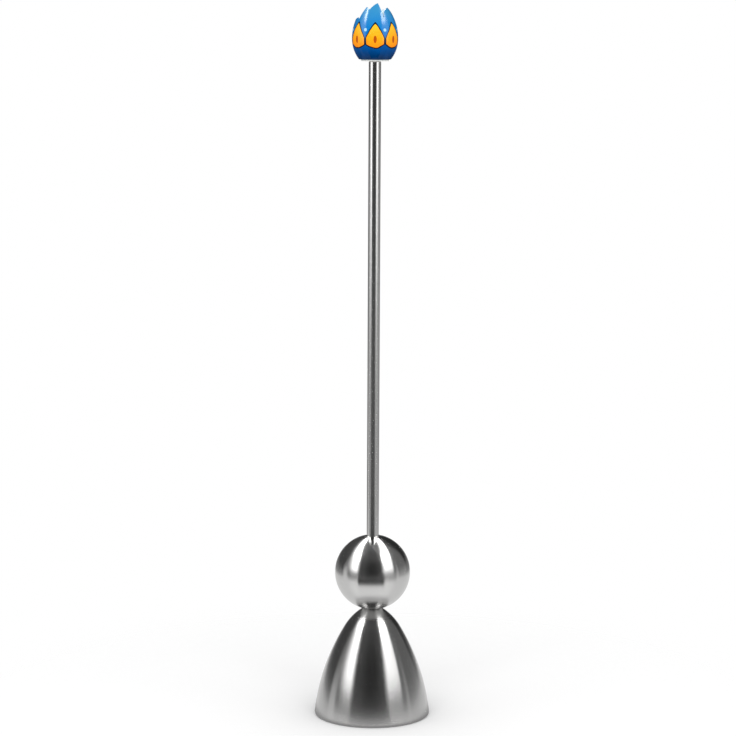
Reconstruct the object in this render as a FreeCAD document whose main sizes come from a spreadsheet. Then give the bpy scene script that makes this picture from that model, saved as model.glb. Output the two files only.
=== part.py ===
import FreeCAD, Part
import math
import os
import re

import Sketcher

# Egg topper, in millimetres. The tool stands mouth down: the origin is the centre of the bell's rim,
# +Z runs up the guide rod, and the front faces -Y. The bell sits on an egg, and the ball is lifted up
# the rod and let go, so that its blow cracks the shell in a ring under the rim.

sizes = {
    # the turned bell
    "bell_height": 36.2,
    "rim_radius": 19.2,
    "rim_width": 1.6,
    "rim_round": 0.7,
    "mouth_bevel": 0.3,
    "mouth_depth": 2.0,
    "wall_gain": 0.2,
    "rim_lean": 6.46,
    "crown_lean": 31.644,
    "crown_arc": 19.6,
    "crown_flat": 2.9,
    "crown_thickness": 4.5,
    # the guide rod and its studs
    "rod_radius": 2.0,
    "rod_length": 181.4,
    "rod_chamfer": 0.3,
    "stud_radius": 1.5,
    "stud_end": 0.9,
    "stud_chamfer": 0.3,
    # the ball
    "ball_radius": 12.5,
    "ball_flat": 2.9,
    "bore_chamfer": 0.3,
    # washers and nuts
    "washer_radius": 3.5,
    "washer_thickness": 0.5,
    "lock_washer_radius": 3.1,
    "lock_washer_thickness": 0.8,
    "lock_washer_slit": 0.6,
    "lock_washer_slant": 0.5,
    "nut_flats": 5.5,
    "nut_height": 2.4,
    "nut_corner_drop": 0.3,
    # the egg shell knob and the washer under it
    "stop_washer_radius": 4.6,
    "stop_washer_thickness": 0.5,
    "knob_radius": 7.48,
    "knob_waist_height": 6.7,
    "knob_lower_arc": 10.9,
    "knob_upper_arc": 16.3,
    "knob_wall": 1.3,
    "knob_floor": 2.6,
    "knob_foot_round": 0.4,
    "knob_floor_round": 0.8,
    "break_high": 18.15,
    "break_low": 12.2,
    # clearances, each on the radius
    "running_clearance": 0.08,
    "hole_clearance": 0.1,
    "thread_clearance": 0.03,
}

document = FreeCAD.newDocument("egg_topper")
sheet = document.addObject("Spreadsheet::Sheet", "Sizes")
for row, (name, number) in enumerate(sizes.items(), start=1):
    sheet.set(f"A{row}", name)
    sheet.set(f"B{row}", str(number))
    sheet.setAlias(f"B{row}", name)
document.recompute()


def cell(word):
    """A size's cell in the sheet, or the word itself if it names no size."""
    return f"Sizes.{word.group()}" if word.group() in sizes else word.group()


def formula(text):
    """Point every size named in a formula at its cell."""
    return re.sub(r"[a-z][a-z_]+", cell, text)


def amount(text):
    """What a formula comes to with the present sizes."""
    return float(sheet.evalExpression(formula(text)))


def point(across, up):
    return FreeCAD.Vector(amount(across), amount(up), 0)


def new_body(name, height="0"):
    """A body that stands on the axis at a height."""
    body = document.addObject("PartDesign::Body", name)
    body.Label = name
    if height != "0":
        body.setExpression(".Placement.Base.z", formula(height))
    return body


class Section:
    """A closed outline. Across is the distance from the axis and up is the height above the body's foot."""

    def __init__(self, body, name, plane="XZ_Plane"):
        self.sketch = body.newObject("Sketcher::SketchObject", name)
        origin_plane = next(item for item in body.Origin.OriginFeatures if item.Role == plane)
        self.sketch.AttachmentSupport = (origin_plane, [""])
        self.sketch.MapMode = "FlatFace"
        self.edges = []

    def line(self, start, end):
        """A straight edge. Its two ends are kept as (edge, end) pairs."""
        edge = self.sketch.addGeometry(Part.LineSegment(start, end), False)
        self.edges.append(((edge, 1), (edge, 2)))
        return edge

    def arc(self, centre, radius, start, end, held=True):
        """A round edge of under half a turn, from start to end about a centre."""
        first = math.atan2(start.y - centre.y, start.x - centre.x)
        last = math.atan2(end.y - centre.y, end.x - centre.x)
        anticlockwise = (last - first) % (2 * math.pi) < math.pi
        span = (first, last) if anticlockwise else (last, first)
        circle = Part.Circle(centre, FreeCAD.Vector(0, 0, 1), amount(radius))
        edge = self.sketch.addGeometry(Part.ArcOfCircle(circle, *span), False)
        self.edges.append(((edge, 1), (edge, 2)) if anticlockwise else ((edge, 2), (edge, 1)))
        if held:
            self.measure("Radius", (edge,), radius)
        return edge

    def ring(self, radius, helps=False):
        """A full circle about the axis, which only helps to place other edges where helps is true."""
        circle = Part.Circle(FreeCAD.Vector(), FreeCAD.Vector(0, 0, 1), amount(radius))
        edge = self.sketch.addGeometry(circle, helps)
        self.rule("Coincident", edge, 3, -1, 1)
        self.measure("Radius", (edge,), radius)
        return edge

    def rule(self, kind, *parts):
        return self.sketch.addConstraint(Sketcher.Constraint(kind, *parts))

    def measure(self, kind, parts, text):
        """Hold a measure of the outline to a formula."""
        index = self.rule(kind, *parts, amount(text))
        self.sketch.setExpression(f"Constraints[{index}]", formula(text))

    def place(self, spot, across=None, up=None):
        """Hold a point of the outline at its distance from the axis, at its height, or both."""
        if across == "0":
            self.rule("PointOnObject", *spot, -2)
        elif across is not None:
            self.measure("DistanceX", (-1, 1, *spot), across)
        if up == "0":
            self.rule("PointOnObject", *spot, -1)
        elif up is not None:
            self.measure("DistanceY", (-1, 1, *spot), up)

    def close(self, smooth=()):
        """Join each edge's end to the next edge's start, with no corner before the edges in smooth."""
        for here, after in zip(self.edges, self.edges[1:] + self.edges[:1]):
            kind = "Tangent" if after[0][0] in smooth else "Coincident"
            self.rule(kind, *here[1], *after[0])

    def corners(self, places):
        """An outline of straight edges through corners that are each given as (across, up)."""
        spots = [point(*place) for place in places]
        for start, end, place in zip(spots, spots[1:] + spots[:1], places):
            edge = self.line(start, end)
            self.place((edge, 1), *place)
        self.close()


def turn(body, section, name, kind="PartDesign::Revolution"):
    """Turn a section about the axis, to make a solid or to cut one."""
    feature = body.newObject(kind, name)
    feature.Profile = section.sketch
    feature.ReferenceAxis = (section.sketch, ["V_Axis"])
    feature.Angle = 360
    document.recompute()
    return feature


def pad(body, section, name, length):
    feature = body.newObject("PartDesign::Pad", name)
    feature.Profile = section.sketch
    feature.setExpression("Length", formula(length))
    document.recompute()
    return feature


def round_edge(body, before, name, spot, radius):
    """Round the turned edge that passes at a spot of the section."""
    edges = []
    for index, edge in enumerate(before.Shape.Edges, start=1):
        box = edge.BoundBox
        level = abs(box.ZMin - spot.y) < 0.01 and abs(box.ZMax - spot.y) < 0.01
        if level and abs(box.XMax - spot.x) < 0.01:
            edges.append(f"Edge{index}")
    rounding = body.newObject("PartDesign::Fillet", name)
    rounding.Base = (before, edges)
    rounding.setExpression("Radius", formula(radius))
    document.recompute()


def outer_point(centre, reach, height):
    """The point at a height on the outer side of a circle about a centre."""
    return FreeCAD.Vector(centre.x + math.sqrt(reach ** 2 - (height - centre.y) ** 2), height, 0)


def make_bell():
    """The turned bell: a crown arc that runs into a flank arc, an even wall inside both, and a flat
    ceiling that the fasteners clamp against. The mouth has a short straight land, which meets the egg.
    The flank is the one arc that leaves the rim at its lean and runs smoothly into the crown arc."""
    body = new_body("bell")
    section = Section(body, "bell_section")
    hole = "stud_radius + hole_clearance"
    ceiling = "bell_height - crown_thickness"
    mouth = "rim_radius - rim_width"
    inner_crown_arc = "crown_arc - rim_width - wall_gain"

    crown_across = "(crown_flat - crown_arc * sin(crown_lean * 1deg))"
    crown_up = "(bell_height - crown_arc * cos(crown_lean * 1deg))"
    over = f"(rim_radius - {crown_across})"
    down = f"({crown_up} - rim_round)"
    lean_reach = f"({over} * cos(rim_lean * 1deg) - {down} * sin(rim_lean * 1deg))"
    flank_arc = f"(({over}^2 + {down}^2 - crown_arc^2) / (2 * ({lean_reach} - crown_arc)))"
    inner_flank_arc = f"({flank_arc} - rim_width - wall_gain)"
    flank_across = f"rim_radius - {flank_arc} * cos(rim_lean * 1deg)"
    flank_up = f"rim_round - {flank_arc} * sin(rim_lean * 1deg)"

    crown_edge = point("crown_flat", "bell_height")
    crown_centre = point(crown_across, crown_up)
    rim_top = point("rim_radius", "rim_round")
    flank_centre = point(flank_across, flank_up)
    outward = (crown_centre - flank_centre).normalize()
    outer_join = flank_centre + outward * amount(flank_arc)
    inner_join = flank_centre + outward * amount(inner_flank_arc)

    wall_foot = outer_point(flank_centre, amount(inner_flank_arc), amount("mouth_depth"))
    wall_head = outer_point(crown_centre, amount(inner_crown_arc), amount(ceiling))

    hole_side = section.line(point(hole, ceiling), point(hole, "bell_height"))
    section.place((hole_side, 1), hole, ceiling)
    flat = section.line(point(hole, "bell_height"), crown_edge)
    section.place((flat, 1), hole, "bell_height")
    section.place((flat, 2), "crown_flat", "bell_height")
    outer_crown = section.arc(crown_centre, "crown_arc", crown_edge, outer_join)
    outer_flank = section.arc(flank_centre, flank_arc, outer_join, rim_top)
    section.place((outer_flank, 3), up=flank_up)
    rim_foot = point("rim_radius - rim_round", "0")
    rim = section.arc(point("rim_radius - rim_round", "rim_round"), "rim_round", rim_top, rim_foot)
    section.place((rim, 2), "rim_radius", "rim_round")
    section.place((rim, 1), "rim_radius - rim_round", "0")
    foot = section.line(rim_foot, point(f"{mouth} + mouth_bevel", "0"))
    section.place((foot, 2), f"{mouth} + mouth_bevel", "0")
    bevel = section.line(point(f"{mouth} + mouth_bevel", "0"), point(mouth, "mouth_bevel"))
    section.place((bevel, 2), mouth, "mouth_bevel")
    land = section.line(point(mouth, "mouth_bevel"), point(mouth, "mouth_depth"))
    section.place((land, 2), mouth, "mouth_depth")
    step = section.line(point(mouth, "mouth_depth"), wall_foot)
    section.rule("Horizontal", step)
    inner_flank = section.arc(flank_centre, inner_flank_arc, wall_foot, inner_join)
    section.rule("Coincident", inner_flank, 3, outer_flank, 3)
    inner_crown = section.arc(crown_centre, inner_crown_arc, inner_join, wall_head, held=False)
    section.rule("Coincident", inner_crown, 3, outer_crown, 3)
    section.place((inner_crown, 2), up=ceiling)
    section.line(wall_head, point(hole, ceiling))
    section.close(smooth=(outer_flank, inner_crown))
    turn(body, section, "bell_turning")
    return body


def make_guide_rod():
    """A straight ground rod with a shoulder at each end, where it is turned down to a stud."""
    body = new_body("guide_rod", "bell_height")
    low_end = "-(crown_thickness + washer_thickness + lock_washer_thickness + nut_height + stud_end)"
    high_end = "rod_length + stop_washer_thickness + knob_floor + washer_thickness + nut_height + stud_end"
    section = Section(body, "rod_section")
    section.corners([
        ("0", low_end),
        ("stud_radius - stud_chamfer", low_end),
        ("stud_radius", f"{low_end} + stud_chamfer"),
        ("stud_radius", "0"),
        ("rod_radius", "0"),
        ("rod_radius", "rod_length - rod_chamfer"),
        ("rod_radius - rod_chamfer", "rod_length"),
        ("stud_radius", "rod_length"),
        ("stud_radius", f"{high_end} - stud_chamfer"),
        ("stud_radius - stud_chamfer", high_end),
        ("0", high_end),
    ])
    turn(body, section, "rod_turning")
    return body


def make_drop_ball():
    """A bearing ball with a flat ground on top and bottom, bored through to run on the rod."""
    half_height = "sqrt(ball_radius^2 - ball_flat^2)"
    body = new_body("drop_ball", f"bell_height + {half_height}")
    section = Section(body, "ball_section")
    bore = "rod_radius + running_clearance"
    mouth = f"{bore} + bore_chamfer"
    low_edge = point("ball_flat", f"-{half_height}")
    side = section.arc(FreeCAD.Vector(), "ball_radius", low_edge, point("ball_flat", half_height))
    section.place((side, 1), "ball_flat", f"-{half_height}")
    section.place((side, 2), "ball_flat", half_height)
    inside = [
        ("ball_flat", half_height),
        (mouth, half_height),
        (bore, f"{half_height} - bore_chamfer"),
        (bore, f"-{half_height} + bore_chamfer"),
        (mouth, f"-{half_height}"),
        ("ball_flat", f"-{half_height}"),
    ]
    for start, end in zip(inside, inside[1:]):
        edge = section.line(point(*start), point(*end))
        if end != inside[-1]:
            section.place((edge, 2), *end)
    section.close()
    turn(body, section, "ball_turning")
    return body


def make_washer(name, height, radius, thickness):
    """A flat ring round a stud."""
    body = new_body(name, height)
    section = Section(body, f"{name}_section")
    hole = "stud_radius + hole_clearance"
    section.corners([(hole, "0"), (radius, "0"), (radius, thickness), (hole, thickness)])
    turn(body, section, f"{name}_ring")
    return body


def make_lock_washer(name, height):
    """A spring washer pressed flat: a ring with one slanting slit through it at the front."""
    body = make_washer(name, height, "lock_washer_radius", "lock_washer_thickness")
    whole = body.Shape.Volume
    slit = Section(body, f"{name}_slit")
    below = "-lock_washer_thickness"
    above = "2 * lock_washer_thickness"
    slit.corners([
        ("-lock_washer_slant - lock_washer_slit / 2", below),
        ("-lock_washer_slant + lock_washer_slit / 2", below),
        ("lock_washer_slant + lock_washer_slit / 2", above),
        ("lock_washer_slant - lock_washer_slit / 2", above),
    ])
    cut = body.newObject("PartDesign::Pocket", f"{name}_cut")
    cut.Profile = slit.sketch
    cut.Reversed = True
    cut.setExpression("Length", formula("2 * lock_washer_radius"))
    document.recompute()
    if not body.Shape.Volume < whole:
        raise RuntimeError(f"{name}: the slit cuts nothing")
    return body


def make_nut(name, height):
    """A hexagon nut with its corners turned off on both faces."""
    body = new_body(name, height)
    outline = Section(body, f"{name}_hexagon", "XY_Plane")
    corner_radius = "nut_flats / 2 / cos(30deg)"
    reach = amount(corner_radius)
    turns = [math.radians(60 * step) for step in range(6)]
    spots = [FreeCAD.Vector(reach * math.cos(angle), reach * math.sin(angle), 0) for angle in turns]
    sides = [outline.line(start, end) for start, end in zip(spots, spots[1:] + spots[:1])]
    outline.close()
    guide = outline.ring(corner_radius, helps=True)
    for side in sides:
        outline.rule("PointOnObject", side, 1, guide)
    for side in sides[1:]:
        outline.rule("Equal", sides[0], side)
    outline.rule("PointOnObject", sides[0], 1, -1)
    outline.ring("stud_radius + thread_clearance")
    pad(body, outline, f"{name}_blank", "nut_height")
    blank = body.Shape.Volume

    outside = f"{corner_radius} + nut_corner_drop"
    start = f"{corner_radius} - (2 * nut_corner_drop)"
    faces = {
        "foot": ("0", "nut_corner_drop"),
        "head": ("nut_height", "nut_height - nut_corner_drop"),
    }
    for face, (level, tip) in faces.items():
        corner = Section(body, f"{name}_{face}_corner")
        corner.corners([(start, level), (corner_radius, tip), (outside, tip), (outside, level)])
        turn(body, corner, f"{name}_{face}_chamfer", "PartDesign::Groove")
    if not body.Shape.Volume < blank:
        raise RuntimeError(f"{name}: the corners were not cut")
    return body


# The broken edge of the knob, once round from the left side. Each point has its bearing from the front
# in degrees, towards +X, and its share of the way from the lowest notch to the highest tooth.
BREAK_LINE = [
    (-88, 0.10),
    (-66, 0.24),
    (-57, 0.12),
    (-43, 0.80),
    (-24, 0.66),
    (17, 1.00),
    (27, 0.16),
    (36, 0.57),
    (72, 0.76),
    (98, 0.10),
    (120, 0.30),
    (146, 0.66),
    (165, 0.45),
    (187, 0.62),
    (208, 0.35),
    (228, 0.08),
    (250, 0.14),
]


def make_broken_shell():
    """The knob: a hollow glazed egg shell on a flat foot, broken open at the top. It is a whole shell
    of even wall with a thick floor, less everything above the break. The break's faces all point at the
    middle of the egg, so the broken edge stands square to the wall, as it does on a real shell."""
    base = "bell_height + rod_length + stop_washer_thickness"
    body = new_body("whole_shell", base)
    section = Section(body, "shell_section")
    hole = "stud_radius + hole_clearance"
    waist = amount("knob_waist_height")
    lower_centre = point("knob_radius - knob_lower_arc", "knob_waist_height")
    upper_centre = point("knob_radius - knob_upper_arc", "knob_waist_height")
    inner_lower_arc = "knob_lower_arc - knob_wall"
    inner_upper_arc = "knob_upper_arc - knob_wall"

    upper_reach = amount("knob_upper_arc")
    foot_edge = outer_point(lower_centre, amount("knob_lower_arc"), 0)
    floor_edge = outer_point(lower_centre, amount(inner_lower_arc), amount("knob_floor"))
    top = FreeCAD.Vector(0, waist + math.sqrt(upper_reach ** 2 - upper_centre.x ** 2), 0)
    inner_top = FreeCAD.Vector(0, waist + math.sqrt(amount(inner_upper_arc) ** 2 - upper_centre.x ** 2), 0)
    waist_outside = point("knob_radius", "knob_waist_height")
    waist_inside = point("knob_radius - knob_wall", "knob_waist_height")

    hole_side = section.line(point(hole, "knob_floor"), point(hole, "0"))
    section.place((hole_side, 1), hole, "knob_floor")
    section.place((hole_side, 2), hole, "0")
    foot = section.line(point(hole, "0"), foot_edge)
    section.rule("Horizontal", foot)
    outer_lower = section.arc(lower_centre, "knob_lower_arc", foot_edge, waist_outside)
    section.place((outer_lower, 3), up="knob_waist_height")
    section.place((outer_lower, 2), "knob_radius", "knob_waist_height")
    outer_upper = section.arc(upper_centre, "knob_upper_arc", waist_outside, top)
    section.place((outer_upper, 3), up="knob_waist_height")
    section.place((outer_upper, 2), across="0")
    axis = section.line(top, inner_top)
    section.rule("Vertical", axis)
    inner_upper = section.arc(upper_centre, inner_upper_arc, inner_top, waist_inside)
    section.place((inner_upper, 3), up="knob_waist_height")
    section.place((inner_upper, 1), "knob_radius - knob_wall", "knob_waist_height")
    inner_lower = section.arc(lower_centre, inner_lower_arc, waist_inside, floor_edge)
    section.place((inner_lower, 3), up="knob_waist_height")
    section.place((inner_lower, 1), up="knob_floor")
    section.line(floor_edge, point(hole, "knob_floor"))
    section.close()
    blank = turn(body, section, "shell_turning")

    round_edge(body, blank, "foot_rounding", foot_edge, "knob_foot_round")
    round_edge(body, body.Tip, "floor_rounding", floor_edge, "knob_floor_round")

    middle = FreeCAD.Vector(0, 0, waist)
    reach = 4 * amount("knob_radius")
    ring = []
    for bearing, share in BREAK_LINE:
        height = amount("break_low") + share * amount("break_high - break_low")
        radius = outer_point(upper_centre, upper_reach, height).x
        angle = math.radians(bearing)
        edge_point = FreeCAD.Vector(radius * math.sin(angle), -radius * math.cos(angle), height)
        ring.append(middle + (edge_point - middle).normalize() * reach)
    lid = middle + FreeCAD.Vector(0, 0, 1.2 * reach)
    faces = []
    for here, after in zip(ring, ring[1:] + ring[:1]):
        faces.append(Part.Face(Part.makePolygon([middle, after, here, middle])))
        faces.append(Part.Face(Part.makePolygon([lid, here, after, lid])))
    lifted_off = document.addObject("Part::Feature", "broken_off")
    lifted_off.Shape = Part.Solid(Part.Shell(faces))
    lifted_off.Placement = FreeCAD.Placement(FreeCAD.Vector(0, 0, amount(base)), FreeCAD.Rotation())

    knob = document.addObject("Part::Cut", "egg_shell_knob")
    knob.Label = "egg_shell_knob"
    knob.Base = body
    knob.Tool = lifted_off
    document.recompute()
    return knob


under_ceiling = "bell_height - crown_thickness - washer_thickness"
under_washer = f"{under_ceiling} - lock_washer_thickness"
shell_floor = "bell_height + rod_length + stop_washer_thickness + knob_floor"

pieces = [
    make_bell(),
    make_guide_rod(),
    make_drop_ball(),
    make_washer("crown_washer", under_ceiling, "washer_radius", "washer_thickness"),
    make_lock_washer("crown_lock_washer", under_washer),
    make_nut("crown_nut", f"{under_washer} - nut_height"),
    make_washer("stop_washer", "bell_height + rod_length", "stop_washer_radius", "stop_washer_thickness"),
    make_broken_shell(),
    make_washer("shell_washer", shell_floor, "washer_radius", "washer_thickness"),
    make_nut("shell_nut", f"{shell_floor} + washer_thickness"),
]

document.recompute()
for item in document.Objects:
    if "Invalid" in item.State or "Error" in item.State:
        raise RuntimeError(f"{item.Label} failed: {item.State}")
for piece in pieces:
    if piece.Shape.isNull() or not piece.Shape.isValid() or len(piece.Shape.Solids) != 1:
        raise RuntimeError(f"{piece.Label} is not one sound solid")

os.makedirs("parts", exist_ok=True)
for piece in pieces:
    piece.Shape.exportStep(f"parts/{piece.Label}.step")
    print(f"{piece.Label}: {piece.Shape.Volume:.1f} cubic millimetres")
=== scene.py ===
import math

import bmesh
import bpy
from mathutils import Matrix, Vector


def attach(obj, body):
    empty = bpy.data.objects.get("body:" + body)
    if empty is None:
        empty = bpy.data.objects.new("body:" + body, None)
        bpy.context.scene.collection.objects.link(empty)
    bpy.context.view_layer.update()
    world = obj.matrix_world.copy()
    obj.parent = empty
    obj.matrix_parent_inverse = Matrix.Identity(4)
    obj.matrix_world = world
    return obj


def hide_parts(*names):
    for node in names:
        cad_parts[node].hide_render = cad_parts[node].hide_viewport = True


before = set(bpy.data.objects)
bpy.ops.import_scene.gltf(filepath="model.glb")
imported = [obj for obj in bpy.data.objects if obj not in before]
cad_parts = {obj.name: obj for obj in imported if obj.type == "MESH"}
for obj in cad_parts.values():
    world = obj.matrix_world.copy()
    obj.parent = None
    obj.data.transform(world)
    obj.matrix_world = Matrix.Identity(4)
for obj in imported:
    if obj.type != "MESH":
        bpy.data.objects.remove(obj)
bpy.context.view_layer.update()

# Camera. It stands a little above the top of the tool and looks slightly down, so that the whole tool
# stands upright in a square picture and the ball and the bell are seen from just above.
CAMERA_PLACE = (-0.00181, -0.851, 0.24315)
CAMERA_TILT = 81.57
CAMERA_ROLL = 0.26
camera = bpy.data.cameras.new("camera")
camera.sensor_width = 36.0
camera.lens = 127.66
camera.clip_start = 0.01
camera_stand = bpy.data.objects.new("camera", camera)
bpy.context.scene.collection.objects.link(camera_stand)
camera_stand.matrix_world = (
    Matrix.Translation(CAMERA_PLACE)
    @ Matrix.Rotation(math.radians(CAMERA_TILT), 4, "X")
    @ Matrix.Rotation(math.radians(CAMERA_ROLL), 4, "Z")
)
bpy.context.scene.camera = camera_stand
bpy.context.scene.view_settings.view_transform = "Standard"


# Bell. The real one is turned from stainless steel bar, hollow inside with a wall of under 2 mm, and brushed
# on the lathe, which leaves fine rings round it. The guide rod is clamped through its thick crown.
MM = 0.001
SAME_POINT = 1e-7


class Outline:
    """The half outline of a turned piece, drawn from point to point in millimetres from the axis and up."""

    def __init__(self, across, up):
        self.mesh = bmesh.new()
        self.tip = self.mesh.verts.new((across * MM, 0, up * MM))

    def line(self, across, up, steps=1):
        """Draw straight to a point."""
        here = self.tip.co.copy()
        there = Vector((across * MM, 0, up * MM))
        for step in range(1, steps + 1):
            self._reach(self.mesh.verts.new(here.lerp(there, step / steps)))
        return self

    def bend(self, across, up, sweep, steps):
        """Draw round a centre, through so many degrees, anticlockwise where they are above 0."""
        swept = bmesh.ops.spin(
            self.mesh, geom=[self.tip], cent=(across * MM, 0, up * MM), axis=(0, -1, 0),
            angle=math.radians(sweep), steps=steps, use_duplicate=False,
        )
        self.tip = [part for part in swept["geom_last"] if isinstance(part, bmesh.types.BMVert)][0]
        return self

    def _reach(self, vertex):
        self.mesh.edges.new((self.tip, vertex))
        self.tip = vertex

    def turn(self, steps):
        """Turn the outline once round the axis and close its poles and its seam."""
        bmesh.ops.remove_doubles(self.mesh, verts=self.mesh.verts, dist=SAME_POINT)
        bmesh.ops.spin(
            self.mesh, geom=self.mesh.verts[:] + self.mesh.edges[:], cent=(0, 0, 0), axis=(0, 0, 1),
            angle=math.tau, steps=steps, use_merge=True,
        )
        bmesh.ops.remove_doubles(self.mesh, verts=self.mesh.verts, dist=SAME_POINT)
        bmesh.ops.recalc_face_normals(self.mesh, faces=self.mesh.faces)
        return self.mesh


def finish_piece(mesh, name, material, sharp=35):
    """Make an object of a finished mesh, smooth but for its real corners."""
    data = bpy.data.meshes.new(name)
    mesh.to_mesh(data)
    mesh.free()
    data.shade_smooth()
    data.set_sharp_from_angle(angle=math.radians(sharp))
    data.materials.append(material)
    piece = bpy.data.objects.new(name, data)
    bpy.context.scene.collection.objects.link(piece)
    return piece


def node(tree, kind, *plugs, **settings):
    """Add a shader node. Plugs fill its inputs in order, settings set its own properties."""
    made = tree.nodes.new(kind)
    for word, setting in settings.items():
        setattr(made, word, setting)
    for socket, plug in zip(made.inputs, plugs):
        if isinstance(plug, bpy.types.NodeSocket):
            tree.links.new(plug, socket)
        elif plug is not None:
            socket.default_value = plug
    return made


def sum_of(tree, kind, *plugs):
    """The result of one sum: a plug for each of its terms."""
    return node(tree, "ShaderNodeMath", *plugs, operation=kind).outputs[0]


def ramp(tree, value, low, high, bottom=0.0, top=1.0, kind="SMOOTHSTEP"):
    """Rise from bottom to top while a value goes from low to high."""
    return node(
        tree, "ShaderNodeMapRange", value, low, high, bottom, top, interpolation_type=kind
    ).outputs[0]


def distance_from_axis(tree, place, unit=1.0):
    """How far a place lies from the upright axis, in metres or in the metre's parts that the unit gives."""
    flat = node(tree, "ShaderNodeVectorMath", place, (unit, unit, 0.0), operation="MULTIPLY").outputs[0]
    return node(tree, "ShaderNodeVectorMath", flat, operation="LENGTH").outputs["Value"]


def new_material(name):
    """A material with its node tree and its main shader."""
    material = bpy.data.materials.new(name)
    material.use_nodes = True
    tree = material.node_tree
    shader = tree.nodes["Principled BSDF"]
    return material, tree, shader


# The rings that a lathe tool and then a brushing belt leave round a turned piece. Rings follow the height
# on a wall and the distance from the axis on a flat face. Round the piece they hardly change.
RINGS_PACE = 9000.0
ROUND_PACE = 14.0
REACH_TO_HEIGHT = 0.73
HAZE_PACE = 160.0
turning_marks = bpy.data.node_groups.new("turning marks", "ShaderNodeTree")
for word in ("Fineness", "Dullness"):
    turning_marks.interface.new_socket(word, in_out="INPUT", socket_type="NodeSocketFloat")
for word in ("Lines", "Light", "Roughness"):
    turning_marks.interface.new_socket(word, in_out="OUTPUT", socket_type="NodeSocketFloat")
given = node(turning_marks, "NodeGroupInput")
place = node(turning_marks, "ShaderNodeTexCoord").outputs["Object"]
split = node(turning_marks, "ShaderNodeSeparateXYZ", place)
reach = distance_from_axis(turning_marks, place)
along = sum_of(turning_marks, "MULTIPLY_ADD", reach, REACH_TO_HEIGHT, split.outputs[2])
pace = sum_of(turning_marks, "MULTIPLY", given.outputs["Fineness"], RINGS_PACE)
ring_place = node(
    turning_marks, "ShaderNodeCombineXYZ",
    sum_of(turning_marks, "MULTIPLY", split.outputs[0], ROUND_PACE),
    sum_of(turning_marks, "MULTIPLY", split.outputs[1], ROUND_PACE),
    sum_of(turning_marks, "MULTIPLY", along, pace),
).outputs[0]
lines = node(turning_marks, "ShaderNodeTexNoise", ring_place, None, 1.0, 1.0, 0.5).outputs[0]
haze = node(turning_marks, "ShaderNodeTexNoise", place, None, HAZE_PACE, 3.0, 0.55).outputs[0]
light = sum_of(
    turning_marks, "ADD", ramp(turning_marks, lines, 0.25, 0.75, 0.97, 1.015, "LINEAR"),
    ramp(turning_marks, haze, 0.3, 0.7, -0.015, 0.015, "LINEAR"),
)
rough = sum_of(
    turning_marks, "ADD", given.outputs["Dullness"],
    sum_of(
        turning_marks, "ADD", ramp(turning_marks, lines, 0.25, 0.75, -0.006, 0.006, "LINEAR"),
        ramp(turning_marks, haze, 0.3, 0.7, -0.006, 0.006, "LINEAR"),
    ),
)
node(turning_marks, "NodeGroupOutput", lines, light, rough)


MARK_DEPTH = 0.00001
WARMER = (1.0, 0.995, 0.985)


def brushed_steel(name, tone, rough, stretch, fineness, depth, dulled=None):
    """Stainless steel with fine rings round it. Its tone is the share of light that it reflects.

    The rings stretch its shine up and down. A dulled part goes from one height to another, in millimetres,
    and is duller by the third figure.
    """
    material, tree, shader = new_material(name)
    marks = node(tree, "ShaderNodeGroup", node_tree=turning_marks)
    marks.inputs["Fineness"].default_value = fineness
    marks.inputs["Dullness"].default_value = rough
    if dulled:
        height = node(
            tree, "ShaderNodeSeparateXYZ", node(tree, "ShaderNodeTexCoord").outputs["Object"]
        ).outputs[2]
        start, end, added = dulled
        worn = ramp(tree, height, start * MM, end * MM, rough, rough + added)
        tree.links.new(worn, marks.inputs["Dullness"])
    colour = node(
        tree, "ShaderNodeVectorMath", [tone * share for share in WARMER], None, None, marks.outputs["Light"],
        operation="SCALE",
    ).outputs[0]
    tree.links.new(colour, shader.inputs["Base Color"])
    tree.links.new(marks.outputs["Roughness"], shader.inputs["Roughness"])
    shader.inputs["Metallic"].default_value = 1.0
    shader.inputs["Anisotropic"].default_value = stretch
    shader.inputs["Anisotropic Rotation"].default_value = 0.25
    round_axis = node(tree, "ShaderNodeTangent", direction_type="RADIAL", axis="Z")
    tree.links.new(round_axis.outputs[0], shader.inputs["Tangent"])
    bump = node(tree, "ShaderNodeBump")
    bump.inputs["Strength"].default_value = depth
    bump.inputs["Distance"].default_value = MARK_DEPTH
    tree.links.new(marks.outputs["Lines"], bump.inputs["Height"])
    tree.links.new(bump.outputs[0], shader.inputs["Normal"])
    return material


bell_steel = brushed_steel(
    "turned bell steel", tone=0.55, rough=0.18, stretch=0.86, fineness=1.0, depth=0.02,
    dulled=(31, 35.5, 0.15),
)
STUD_HOLE = 1.6
CROWN_TOP = 36.2
CROWN_FLOOR = 31.7
CROWN_CENTRE = (-7.383, 19.514)
SKIRT_CENTRE = (-52.343, -7.4)
RIM_CENTRE = (18.5, 0.7)
MOUTH = 17.6
bell_outline = Outline(STUD_HOLE, CROWN_FLOOR).line(STUD_HOLE, 36.15).line(1.65, CROWN_TOP)
bell_outline.line(2.85, CROWN_TOP).line(2.95, 36.17).bend(*CROWN_CENTRE, -27.3, 26)
bell_outline.bend(*SKIRT_CENTRE, -24.45, 44).bend(*RIM_CENTRE, -96.0, 8)
bell_outline.line(17.9, 0).line(MOUTH, 0.3).line(MOUTH, 2.0).line(17.22, 2.0)
bell_outline.bend(*SKIRT_CENTRE, 23.21, 40).bend(*CROWN_CENTRE, 12.3, 12).line(STUD_HOLE, CROWN_FLOOR)
bell = finish_piece(bell_outline.turn(224), "turned_bell", bell_steel)
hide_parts("bell")
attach(bell, "frame")


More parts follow.
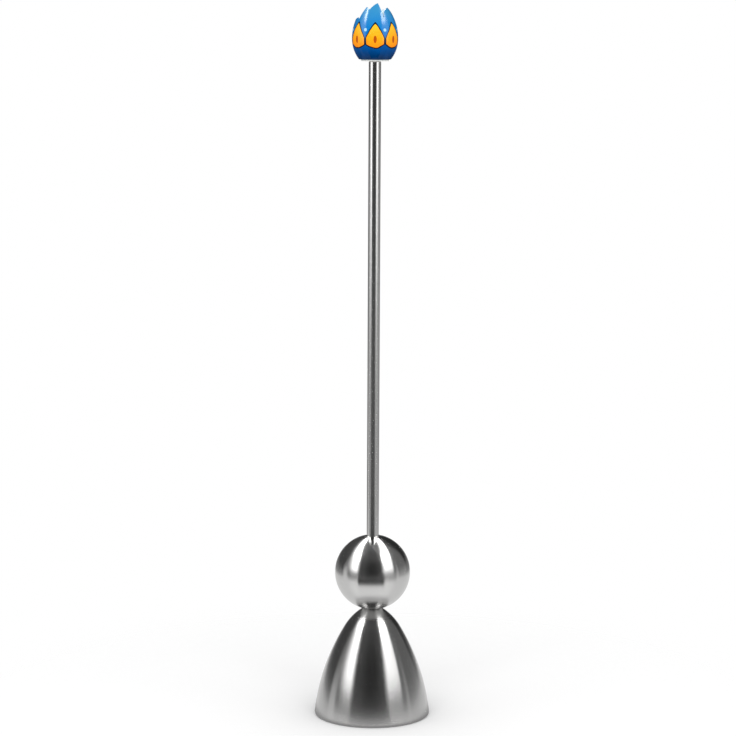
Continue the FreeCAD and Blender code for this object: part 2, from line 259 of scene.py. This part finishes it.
# Guide rod. The real one is a ground stainless rod of 4 mm, shouldered at both ends and turned down to a
# 3 mm stud with a rolled thread. The lower stud goes through the bell's crown, the upper one into the knob.
rod_steel = brushed_steel("ground rod steel", tone=0.70, rough=0.20, stretch=0.68, fineness=0.8, depth=0.005)
SAME_THREAD_POINT = 2e-6


def threaded_stud(mesh, low, high, pitch=0.5, radius=1.5, root=1.19, chamfer=0.3, steps=32):
    """Add a threaded stud to a mesh, in millimetres.

    One turn of the thread's outline is screwed up the axis, cut to length and chamfered at both ends.
    """
    start = low - 2 * pitch
    turns = math.ceil((high - low) / pitch) + 4
    corners = [(radius, 0.0), (radius, 0.08), (root, 0.42), (root, 0.58), (radius, 0.92), (radius, 1.0)]
    stud = bmesh.new()
    points = [stud.verts.new((across * MM, 0, (start + share * pitch) * MM)) for across, share in corners]
    edges = [stud.edges.new(pair) for pair in zip(points, points[1:])]
    bmesh.ops.spin(
        stud, geom=points + edges, cent=(0, 0, 0), axis=(0, 0, 1), angle=math.tau * turns,
        steps=steps * turns, dvec=(0, 0, pitch / steps * MM),
    )
    bmesh.ops.remove_doubles(stud, verts=stud.verts, dist=SAME_THREAD_POINT)
    for level, side in ((low, -1), (high, 1)):
        bmesh.ops.bisect_plane(
            stud, geom=stud.verts[:] + stud.edges[:] + stud.faces[:], plane_co=(0, 0, level * MM),
            plane_no=(0, 0, side), clear_outer=True,
        )
    rims = [edge for edge in stud.edges if edge.is_boundary]
    bmesh.ops.holes_fill(stud, edges=rims, sides=0)
    bmesh.ops.recalc_face_normals(stud, faces=stud.faces)
    for vertex in stud.verts:
        for level in (low, high):
            depth = abs(vertex.co.z / MM - level)
            limit = radius - chamfer + depth
            reach = math.hypot(vertex.co.x, vertex.co.y) / MM
            if depth < chamfer and reach > limit:
                vertex.co.xy = vertex.co.xy * (limit / reach)
    held = bpy.data.meshes.new("stud")
    stud.to_mesh(held)
    stud.free()
    mesh.from_mesh(held)
    bpy.data.meshes.remove(held)


ROD_REACH = 2.0
ROD_TOP = 217.6
rod_outline = Outline(0, CROWN_TOP).line(1.85, CROWN_TOP).line(ROD_REACH, 36.35).line(ROD_REACH, 217.3, 60)
rod_mesh = rod_outline.line(1.7, ROD_TOP).line(0, ROD_TOP).turn(64)
threaded_stud(rod_mesh, 27.1, 36.4)
threaded_stud(rod_mesh, 217.4, 224.5)
rod = finish_piece(rod_mesh, "ground_rod", rod_steel)
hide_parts("guide_rod")
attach(rod, "frame")


# Ball. The real one is a 25 mm steel ball, bored to slide on the rod, with a small flat round each end of
# the bore. It is polished on a spindle, so its rings are finer than the bell's.
ball_steel = brushed_steel(
    "polished ball steel", tone=0.64, rough=0.185, stretch=0.86, fineness=1.3, depth=0.01
)
BORE = 2.08
BORE_EDGE = 2.38
BALL_CENTRE = 48.36
BALL_TOP = 60.518
ball_outline = Outline(BORE, 36.5).line(BORE_EDGE, CROWN_TOP).line(2.8, CROWN_TOP).line(3.0, 36.226)
ball_outline.bend(0, BALL_CENTRE, 152.2, 96).line(2.8, BALL_TOP).line(BORE_EDGE, BALL_TOP)
ball_outline.line(BORE, 60.218).line(BORE, 36.5)
ball = finish_piece(ball_outline.turn(192), "drop_weight", ball_steel)
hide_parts("drop_ball")
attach(ball, "ball")


# Nuts and washers. They are stock stainless parts of the 3 mm size, left bright. The crown's set clamps the
# rod inside the bell, and the knob's set holds the shell down from inside.
fastener_steel = brushed_steel(
    "bright fastener steel", tone=0.58, rough=0.26, stretch=0.3, fineness=0.8, depth=0.1
)
for name in ("crown_washer", "crown_lock_washer", "crown_nut", "shell_washer", "shell_nut"):
    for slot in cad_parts[name].material_slots:
        slot.material = fastener_steel


# Stop washer. The real one is a pale nylon ring between the rod's shoulder and the knob, which takes the
# ball's knock if the ball is thrown up.
NYLON_SHADE = (0.70, 0.69, 0.66, 1)
NYLON_LIGHT = (0.78, 0.775, 0.75, 1)
stop_nylon, nylon_tree, nylon_shader = new_material("pale nylon")
nylon_place = node(nylon_tree, "ShaderNodeTexCoord").outputs["Object"]
nylon_cloud = node(nylon_tree, "ShaderNodeTexNoise", nylon_place, None, 900.0, 4.0, 0.6).outputs[0]
nylon_colour = node(nylon_tree, "ShaderNodeMix", data_type="RGBA")
nylon_tree.links.new(ramp(nylon_tree, nylon_cloud, 0.3, 0.7), nylon_colour.inputs["Factor"])
nylon_colour.inputs[6].default_value = NYLON_SHADE
nylon_colour.inputs[7].default_value = NYLON_LIGHT
nylon_tree.links.new(nylon_colour.outputs[2], nylon_shader.inputs["Base Color"])
nylon_shader.inputs["Roughness"].default_value = 0.5
KNOB_FOOT = 218.1
STOP_REACH = 4.6
stop_outline = Outline(STUD_HOLE, ROD_TOP).line(4.4, ROD_TOP).line(STOP_REACH, 217.8)
stop_outline.line(STOP_REACH, 217.9).line(4.4, KNOB_FOOT).line(STUD_HOLE, KNOB_FOOT).line(STUD_HOLE, ROD_TOP)
stop_ring = finish_piece(stop_outline.turn(96), "nylon_stop", stop_nylon)
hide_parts("stop_washer")
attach(stop_ring, "frame")


# Knob. The real one is a small ceramic egg shell on a flat foot, broken open at the top, glazed blue with
# a painted band of petals under a clear glaze. The broken edge and the inside are paler.
WAIST = 6.7
LOWER_CENTRE = -3.42
LOWER_REACH = 10.9
UPPER_CENTRE = -8.82
UPPER_REACH = 16.3
SHELL_WALL = 1.3
EDGE_ROUND = 0.08
INSIDE_FLOOR = 2.6
INSIDE_EDGE = (4.362, 13.857)
BREAK_SLOPE = 1.688
LOWEST_BREAK = 12.2
BREAK_RISE = 5.95
# The corners of the broken edge. Each has its bearing from the front in degrees and its share of the rise.
BREAK_LINE = [
    (-88, 0.10), (-66, 0.24), (-57, 0.12), (-43, 0.80), (-24, 0.66), (17, 1.00), (27, 0.16), (36, 0.57),
    (72, 0.76), (98, 0.10), (120, 0.30), (146, 0.66), (165, 0.45), (187, 0.62), (208, 0.35), (228, 0.08),
    (250, 0.14),
]


def on_slope(slope, depth):
    """The point at a depth in the upper wall where a line of some slope leaves the egg's middle."""
    square = 1 + slope ** 2
    left = UPPER_CENTRE ** 2 - (UPPER_REACH - depth) ** 2
    across = (UPPER_CENTRE + math.sqrt(UPPER_CENTRE ** 2 - square * left)) / square
    return across, WAIST + slope * across


def edge_slope(height):
    """The slope at which a point of the broken edge, of some height, is seen from the egg's middle."""
    rise = height - WAIST
    return rise / (UPPER_CENTRE + math.sqrt(UPPER_REACH ** 2 - rise ** 2))


def break_slope(bearing):
    """The slope of the broken edge at a bearing, on the flat break between the two corners beside it."""
    corners = [(spot, edge_slope(LOWEST_BREAK + share * BREAK_RISE)) for spot, share in BREAK_LINE]
    corners.append((corners[0][0] + 360, corners[0][1]))
    bearing = (bearing - corners[0][0]) % 360 + corners[0][0]
    for (start, low), (end, high) in zip(corners, corners[1:]):
        if start <= bearing <= end:
            before = math.sin(math.radians(end - bearing))
            after = math.sin(math.radians(bearing - start))
            return (low * before + high * after) / math.sin(math.radians(end - start))


shell_outline = Outline(STUD_HOLE, INSIDE_FLOOR).line(STUD_HOLE, 0).line(4.95, 0).line(5.12, 0.035)
shell_outline.line(5.27, 0.13).line(5.389, 0.28)
shell_outline.bend(LOWER_CENTRE, WAIST, 36.1, 16).bend(UPPER_CENTRE, WAIST, 31.2, 40)
shell_outline.line(*on_slope(BREAK_SLOPE, EDGE_ROUND))
shell_outline.line(*on_slope(BREAK_SLOPE, SHELL_WALL - EDGE_ROUND)).line(*INSIDE_EDGE)
shell_outline.bend(UPPER_CENTRE, WAIST, -28.5, 40).bend(LOWER_CENTRE, WAIST, -23.0, 12)
shell_outline.line(4.7, 2.68).line(4.3, INSIDE_FLOOR).line(STUD_HOLE, INSIDE_FLOOR)
shell_mesh = shell_outline.turn(360)
for vertex in shell_mesh.verts:
    across = math.hypot(vertex.co.x, vertex.co.y) / MM
    rise = vertex.co.z / MM - WAIST
    if rise > 0.001:
        bearing = math.degrees(math.atan2(vertex.co.x, -vertex.co.y))
        slope = rise / across / BREAK_SLOPE * break_slope(bearing)
        depth = UPPER_REACH - math.hypot(across - UPPER_CENTRE, rise)
        new_across, new_up = on_slope(slope, depth)
        vertex.co.xy = vertex.co.xy * (new_across / across)
        vertex.co.z = new_up * MM
    vertex.co.z += KNOB_FOOT * MM
bmesh.ops.recalc_face_normals(shell_mesh, faces=shell_mesh.faces)

# The glaze's blue darkens towards the foot and pales towards the top: this is painted shade and light.
# Seven petals go round the shell, yellow at the tip and orange at the foot, each with a dark outline, a dark
# drop in its middle, and a pale dot over the gap beside it. Heights are in millimetres over the foot
# of the knob.
PETALS = 7
PETAL_TIP = 12.2
PETAL_FALL = 5.4
PETAL_FOOT = 3.6
PETAL_RISE = 1.3
DROP_HEIGHT = 6.6
DOT_HEIGHT = 9.6
GLAZE_BLUES_PAINTED_SHADE = [
    (0.0, (0.0, 0.018, 0.07)), (0.3, (0.0, 0.08, 0.32)), (0.6, (0.0, 0.17, 0.52)), (1.0, (0.035, 0.25, 0.5)),
]
PETAL_WARMTH = [(0.0, (0.90, 0.22, 0.008)), (0.45, (1.0, 0.36, 0.006)), (1.0, (1.0, 0.52, 0.03))]
DROP_RED = (0.42, 0.08, 0.004)
DOT_BLUE = (0.35, 0.62, 0.80)
OUTLINE_BLACK = (0.004, 0.006, 0.010)
BREAK_BLUES = [(0.0, (0.45, 0.64, 0.77)), (1.0, (0.72, 0.84, 0.90))]
glaze, tree, shader = new_material("painted blue glaze")
place = node(tree, "ShaderNodeTexCoord").outputs["Object"]
split = node(tree, "ShaderNodeSeparateXYZ", place)
height = sum_of(tree, "MULTIPLY_ADD", split.outputs[2], 1 / MM, -KNOB_FOOT)
reach = distance_from_axis(tree, place, 1 / MM)
turn = sum_of(tree, "ARCTAN2", split.outputs[0], sum_of(tree, "MULTIPLY", split.outputs[1], -1.0))
wobble = node(tree, "ShaderNodeTexNoise", place, None, 420.0, 2.0, 0.5).outputs[0]
brush = node(tree, "ShaderNodeTexNoise", place, None, 1500.0, 3.0, 0.6).outputs[0]


def shade(tree, colours, value):
    """Run through a row of colours, each at its place between 0 and 1."""
    made = node(tree, "ShaderNodeValToRGB", value)
    stops = made.color_ramp.elements
    for index, (spot, colour) in enumerate(colours):
        stop = stops[index] if index < 2 else stops.new(spot)
        stop.position = spot
        stop.color = (*colour, 1)
    return made.outputs[0]


def over(tree, lower, upper, share):
    """Lay one colour over another."""
    made = node(tree, "ShaderNodeMix", data_type="RGBA")
    tree.links.new(share, made.inputs["Factor"])
    for socket, colour in zip((made.inputs[6], made.inputs[7]), (lower, upper)):
        if isinstance(colour, tuple):
            socket.default_value = (*colour, 1)
        else:
            tree.links.new(colour, socket)
    return made.outputs[2]


# Where a point lies in its own petal: from -1 to 1 across, and in millimetres up.
steps = sum_of(tree, "MULTIPLY_ADD", turn, PETALS / math.tau, 0.5 + PETALS)
sideways = sum_of(tree, "MULTIPLY_ADD", sum_of(tree, "FRACT", steps), 2.0, -1.0)
off_middle = sum_of(tree, "ABSOLUTE", sideways)
petal_top = sum_of(tree, "MULTIPLY_ADD", sum_of(tree, "POWER", off_middle, 1.35), -PETAL_FALL, PETAL_TIP)
petal_foot = sum_of(tree, "MULTIPLY_ADD", sum_of(tree, "POWER", off_middle, 2.0), PETAL_RISE, PETAL_FOOT)
drawn_up = sum_of(tree, "MULTIPLY_ADD", wobble, 0.7, sum_of(tree, "ADD", height, -0.35))
half_width = sum_of(tree, "MULTIPLY", reach, math.pi / PETALS)
to_side = sum_of(tree, "MULTIPLY", sum_of(tree, "SUBTRACT", 1.0, off_middle), half_width)
to_top = sum_of(tree, "MULTIPLY", sum_of(tree, "SUBTRACT", petal_top, drawn_up), 0.62)
to_foot = sum_of(tree, "SUBTRACT", drawn_up, petal_foot)
to_edge = sum_of(tree, "MINIMUM", to_side, sum_of(tree, "MINIMUM", to_top, to_foot))
inside_line = ramp(tree, to_edge, -0.06, 0.06)
inside_petal = ramp(tree, to_edge, 0.36, 0.52)
# The blue follows the height: painted shade darkens it towards the foot, painted light pales it at the top.
painted_shade_height = sum_of(tree, "MULTIPLY_ADD", wobble, 2.0, height)
blue = shade(tree, GLAZE_BLUES_PAINTED_SHADE, ramp(tree, painted_shade_height, 1, 17, kind="LINEAR"))
warm_height = sum_of(tree, "MULTIPLY_ADD", brush, 5.0, drawn_up)
warm = shade(tree, PETAL_WARMTH, ramp(tree, warm_height, 5.5, 14, kind="LINEAR"))


def distance(tree, across, up):
    """How far a point lies from a spot, by its distances across and up."""
    place = node(tree, "ShaderNodeCombineXYZ", across, up).outputs[0]
    return node(tree, "ShaderNodeVectorMath", place, operation="LENGTH").outputs["Value"]


across_drop = sum_of(tree, "MULTIPLY", sum_of(tree, "MULTIPLY", sideways, half_width), 2.2)
up_drop = sum_of(tree, "SUBTRACT", drawn_up, DROP_HEIGHT)
up_dot = sum_of(tree, "SUBTRACT", drawn_up, DOT_HEIGHT)
drop = ramp(tree, distance(tree, across_drop, up_drop), 1.05, 1.3, 1, 0)
dot = ramp(tree, distance(tree, to_side, up_dot), 0.42, 0.58, 1, 0)
painted = over(tree, blue, DOT_BLUE, dot)
painted = over(tree, painted, OUTLINE_BLACK, inside_line)
painted = over(tree, painted, over(tree, warm, DROP_RED, drop), inside_petal)

# The paint stops at the outer face. How deep a point lies in the wall tells the break and the inside from
# it. The clear glaze thins on them and towards the foot.
rise = sum_of(tree, "SUBTRACT", height, WAIST)
wall_centre = ramp(tree, rise, -0.001, 0.001, LOWER_CENTRE, UPPER_CENTRE, "LINEAR")
wall_reach = sum_of(
    tree, "SQRT",
    sum_of(
        tree, "ADD", sum_of(tree, "POWER", sum_of(tree, "SUBTRACT", reach, wall_centre), 2.0),
        sum_of(tree, "MULTIPLY", rise, rise),
    ),
)
wall_depth = sum_of(
    tree, "SUBTRACT", ramp(tree, rise, -0.001, 0.001, LOWER_REACH, UPPER_REACH, "LINEAR"), wall_reach
)
bare_rim = ramp(tree, wall_depth, 0.02, 0.22)
pale = shade(tree, BREAK_BLUES, ramp(tree, wobble, 0.3, 0.7))
tree.links.new(over(tree, painted, pale, bare_rim), shader.inputs["Base Color"])
tree.links.new(ramp(tree, brush, 0.3, 0.7, 0.32, 0.40), shader.inputs["Roughness"])
shader.inputs["Specular IOR Level"].default_value = 0.0
coat = sum_of(
    tree, "MULTIPLY", ramp(tree, bare_rim, 0, 1, 1.0, 0.4, "LINEAR"), ramp(tree, height, 3, 10, 0.3, 1.0)
)
tree.links.new(coat, shader.inputs["Coat Weight"])
shader.inputs["Coat Roughness"].default_value = 0.06
shader.inputs["Coat IOR"].default_value = 1.45
bump = node(tree, "ShaderNodeBump")
bump.inputs["Strength"].default_value = 0.06
bump.inputs["Distance"].default_value = 0.00005
tree.links.new(sum_of(tree, "MULTIPLY_ADD", inside_line, -0.5, wobble), bump.inputs["Height"])
tree.links.new(bump.outputs[0], shader.inputs["Normal"])
knob = finish_piece(shell_mesh, "glazed_shell", glaze, sharp=40)
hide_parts("egg_shell_knob")
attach(knob, "frame")


# Studio. The tool stands on a white table in a white room, and three soft lamps light the paint and the
# table. The steel mirrors two bright lamp faces at its front left and front right, and a dim room.
WHITE = (1, 1, 1, 1)
ROOM_LIGHT = 0.79
world = bpy.data.worlds.new("studio")
bpy.context.scene.world = world
world.use_nodes = True
world_tree = world.node_tree
world_tree.nodes.clear()
seen_by = node(world_tree, "ShaderNodeLightPath")
shown = sum_of(
    world_tree, "MAXIMUM",
    sum_of(world_tree, "MAXIMUM", seen_by.outputs["Is Camera Ray"], seen_by.outputs["Is Glossy Ray"]),
    seen_by.outputs["Is Transmission Ray"],
)
world_light = node(
    world_tree, "ShaderNodeBackground", WHITE, ramp(world_tree, shown, 0, 1, ROOM_LIGHT, 1.0, "LINEAR")
)
node(world_tree, "ShaderNodeOutputWorld", world_light.outputs[0])

BALL_MIDDLE = 0.048
BACK_WALL = 0.975
FACE_GLOW = 2.2
HEAD_GLOW = 13.0


class Surroundings:
    """A material of the studio. Its light is placed by where it is seen from the middle of the ball.

    Lift goes from -1 below to 1 above. Turn is a bearing round the ball, and fan one from the middle of the
    back wall. Up is the height over the table and reach the distance from the tool's foot, in metres.
    """

    def __init__(self, name):
        self.material = bpy.data.materials.new(name)
        self.material.use_nodes = True
        self.material.cycles.emission_sampling = "NONE"
        self.tree = self.material.node_tree
        self.tree.nodes.clear()
        place = node(self.tree, "ShaderNodeTexCoord").outputs["Object"]
        raised = node(self.tree, "ShaderNodeVectorMath", place, (0, 0, -BALL_MIDDLE), operation="ADD")
        ahead = node(self.tree, "ShaderNodeVectorMath", raised.outputs[0], operation="NORMALIZE")
        aside, behind, self.lift = node(self.tree, "ShaderNodeSeparateXYZ", ahead.outputs[0]).outputs[:]
        self.turn = self.bearing(aside, self.sum("MULTIPLY", behind, -1.0))
        self.fan = self.bearing(aside, self.sum("SUBTRACT", BACK_WALL, behind))
        self.up = node(self.tree, "ShaderNodeSeparateXYZ", place).outputs[2]
        self.reach = node(self.tree, "ShaderNodeVectorMath", place, operation="LENGTH").outputs["Value"]

    def sum(self, kind, *plugs):
        """The result of one sum."""
        return sum_of(self.tree, kind, *plugs)

    def bearing(self, aside, front):
        """A bearing in degrees, 0 to the front and more to the right."""
        return self.sum("MULTIPLY", self.sum("ARCTAN2", aside, front), 180 / math.pi)

    def ramp(self, value, low, high, bottom=0.0, top=1.0):
        """Rise from bottom to top while a value goes from low to high."""
        return ramp(self.tree, value, low, high, bottom, top)

    def strip(self, value, low, high, soft):
        """A soft-edged strip between two values."""
        return self.lit(
            self.ramp(value, low - soft, low + soft), self.ramp(value, high - soft, high + soft, 1, 0)
        )

    def total(self, first, *others):
        """Add several lights up."""
        for other in others:
            first = self.sum("ADD", first, other)
        return first

    def lit(self, first, *others):
        """Multiply several shares of one light."""
        for other in others:
            first = self.sum("MULTIPLY", first, other)
        return first

    def glow(self, strength):
        """White light of some strength."""
        return node(self.tree, "ShaderNodeEmission", WHITE, strength).outputs[0]

    def show(self, look):
        """Give the material its look."""
        node(self.tree, "ShaderNodeOutputMaterial", look)

    def lamp_faces(self):
        """The two lamps fan out from the middle of the back wall. The left one fades on its outer side."""
        left = self.lit(self.ramp(self.fan, -50, -30), self.ramp(self.fan, -26, -18.5, 1, 0))
        right = self.lit(self.ramp(self.fan, 12, 20), self.ramp(self.fan, 33, 37, 1, 0), 0.85)
        return self.total(self.sum("POWER", left, 2.0), self.sum("POWER", right, 2.0))

    def seen_in_steel(self):
        """1 where the steel shows this to the camera, 0 where the steel would only throw it on the table."""
        return self.ramp(node(self.tree, "ShaderNodeLightPath").outputs["Diffuse Depth"], 0.4, 0.6, 1, 0)


def only_mirrored(piece):
    """Stage a piece that shows in the steel and the glaze alone."""
    piece.visible_camera = False
    piece.visible_diffuse = False
    piece.visible_shadow = False
    piece.visible_transmission = False


# The room is dim. A little light comes from its ceiling, from low in front and at both sides, from the right
# wall, from an upright strip on each side and from beside the lamps, which reach on up to the ceiling.
DIM = 0.03
ROOM_REACH = 2500
ROOM_FLOOR = -2000
ROOM_SHOULDER = 1500
walls = Surroundings("dim room")
low_front = walls.strip(walls.turn, -40, 32, 8)
left_side = walls.ramp(walls.turn, -50, -40, 1, 0)
right_side = walls.ramp(walls.turn, 33, 43)
right_wall = walls.strip(walls.turn, 36, 130, 8)
left_strip = walls.strip(walls.turn, -101, -84, 5)
right_strip = walls.strip(walls.turn, 79, 87, 3)
room_light = walls.total(
    DIM,
    walls.ramp(walls.lift, 0.45, 0.9, 0.0, 0.07),
    walls.lit(low_front, walls.ramp(walls.lift, -0.12, -0.02, 0.1, 0.0)),
    walls.lit(left_side, walls.ramp(walls.lift, -0.08, 0.08, 0.2, 0.04)),
    walls.lit(right_side, walls.ramp(walls.lift, -0.08, 0.12, 0.2, 0.0)),
    walls.lit(right_wall, 0.14),
    walls.lit(left_strip, walls.ramp(walls.lift, 0.05, 0.25, 0.5, 0.15)),
    walls.lit(right_strip, walls.ramp(walls.lift, 0.05, 0.4, 0.2, 0.05)),
    walls.lit(walls.strip(walls.fan, -24, -10, 7), 0.045),
    walls.lit(walls.strip(walls.fan, 8, 20, 5), 0.04),
    walls.lit(walls.lamp_faces(), walls.ramp(walls.lift, 0.6, 0.7, 0.0, FACE_GLOW)),
)
walls.show(walls.glow(walls.lit(room_light, walls.seen_in_steel())))
room_outline = Outline(0, ROOM_FLOOR).line(ROOM_REACH, ROOM_FLOOR, 8).line(ROOM_REACH, ROOM_SHOULDER, 8)
room_mesh = room_outline.bend(0, ROOM_SHOULDER, 90, 16).turn(96)
only_mirrored(finish_piece(room_mesh, "dim_room", walls.material))

# The bright faces of the lamps stand on a clear drum round the table. Their heads are far hotter, which
# gives the glaze its small highlights.
FACE_REACH = 500
FACE_LOW = 40
FACE_HIGH = 950
faces = Surroundings("lamp faces")
heads = faces.total(faces.strip(faces.fan, -30, -24, 2), faces.strip(faces.fan, 16, 29, 2))
hot_heads = faces.lit(faces.ramp(faces.up, 0.45, 0.64, 0.0, HEAD_GLOW), heads)
face_light = faces.lit(
    faces.lamp_faces(), faces.ramp(faces.up, 0.045, 0.19), faces.total(FACE_GLOW, hot_heads),
    faces.seen_in_steel(),
)
clear = node(faces.tree, "ShaderNodeBsdfTransparent", WHITE).outputs[0]
faces.show(node(faces.tree, "ShaderNodeAddShader", faces.glow(face_light), clear).outputs[0])
face_mesh = Outline(FACE_REACH, FACE_LOW).line(FACE_REACH, FACE_HIGH, 4).turn(96)
only_mirrored(finish_piece(face_mesh, "lamp_faces", faces.material))

# The table is painted white. The steel mirrors a glow painted for it alone, with painted shade under the
# bell, a painted dark card in front, and less light far out and at the back. It is clear from below, and
# the camera sees it fade into the white room.
TABLE_PAINT = (0.95, 0.95, 0.95, 1)
TABLE_REACH = 0.33
TABLE_DROP = 0.00002
table_top = Surroundings("white table")
tree = table_top.tree
seen_by = node(tree, "ShaderNodeLightPath")
from_camera = seen_by.outputs["Is Camera Ray"]
# A painted dark card: darkness painted into the table's glow for the steel, with no card there.
painted_dark_card = table_top.lit(
    table_top.strip(table_top.turn, -45, 36, 3), table_top.ramp(table_top.reach, 0.085, 0.105)
)
far_out = table_top.lit(
    table_top.ramp(table_top.reach, 0.11, 0.24), table_top.strip(table_top.turn, -78, 78, 8)
)
# The steel sees a painted reflection: a glow with painted shade under the bell and a painted dark card.
painted_reflection_light = table_top.lit(
    table_top.ramp(table_top.reach, 0.018, 0.034, 0.4, 0.95),
    table_top.ramp(painted_dark_card, 0, 1, 1.0, 0.03),
    table_top.ramp(far_out, 0, 1, 1.0, 0.5),
    table_top.ramp(table_top.strip(table_top.turn, -75, 65, 28), 0, 1, 0.84, 1.0),
    table_top.seen_in_steel(),
)
paint = node(tree, "ShaderNodeBsdfDiffuse", TABLE_PAINT).outputs[0]
look = node(tree, "ShaderNodeAddShader", paint, table_top.glow(table_top.lit(from_camera, 0.03))).outputs[0]
both = node(
    tree, "ShaderNodeMixShader", seen_by.outputs["Is Glossy Ray"], look, table_top.glow(painted_reflection_light)
).outputs[0]
under_side = node(tree, "ShaderNodeNewGeometry").outputs["Backfacing"]
gone = table_top.sum("MAXIMUM", table_top.ramp(table_top.reach, 0.22, 0.32), under_side)
seen_end = table_top.lit(from_camera, table_top.ramp(table_top.reach, 0.07, 0.17))
gone = table_top.sum("MAXIMUM", gone, seen_end)
clear = node(tree, "ShaderNodeBsdfTransparent", WHITE).outputs[0]
table_top.show(node(tree, "ShaderNodeMixShader", gone, both, clear).outputs[0])
table_mesh = bmesh.new()
bmesh.ops.create_circle(table_mesh, cap_ends=True, segments=96, radius=TABLE_REACH)
for vertex in table_mesh.verts:
    vertex.co.z = -TABLE_DROP
finish_piece(table_mesh, "table", table_top.material)


def soft_lamp(name, turn, distance, low, high, width, brightness):
    """An upright lamp with a flat face of even brightness, at a bearing from the front, facing the tool."""
    lamp = bpy.data.lights.new(name, "AREA")
    lamp.shape = "RECTANGLE"
    lamp.size = width
    lamp.size_y = high - low
    lamp.energy = brightness * math.pi * width * (high - low)
    stand = bpy.data.objects.new(name, lamp)
    bpy.context.scene.collection.objects.link(stand)
    angle = math.radians(turn)
    stand.location = (distance * math.sin(angle), -distance * math.cos(angle), (low + high) / 2)
    stand.rotation_euler = (math.radians(90), 0, angle)
    stand.visible_glossy = False


soft_lamp("left lamp", turn=-64, distance=0.5, low=0.17, high=0.5, width=0.28, brightness=0.4)
soft_lamp("right lamp", turn=56, distance=0.5, low=0.17, high=0.5, width=0.28, brightness=0.6)
soft_lamp("front lamp", turn=0, distance=0.6, low=0.35, high=0.8, width=0.9, brightness=3.0)
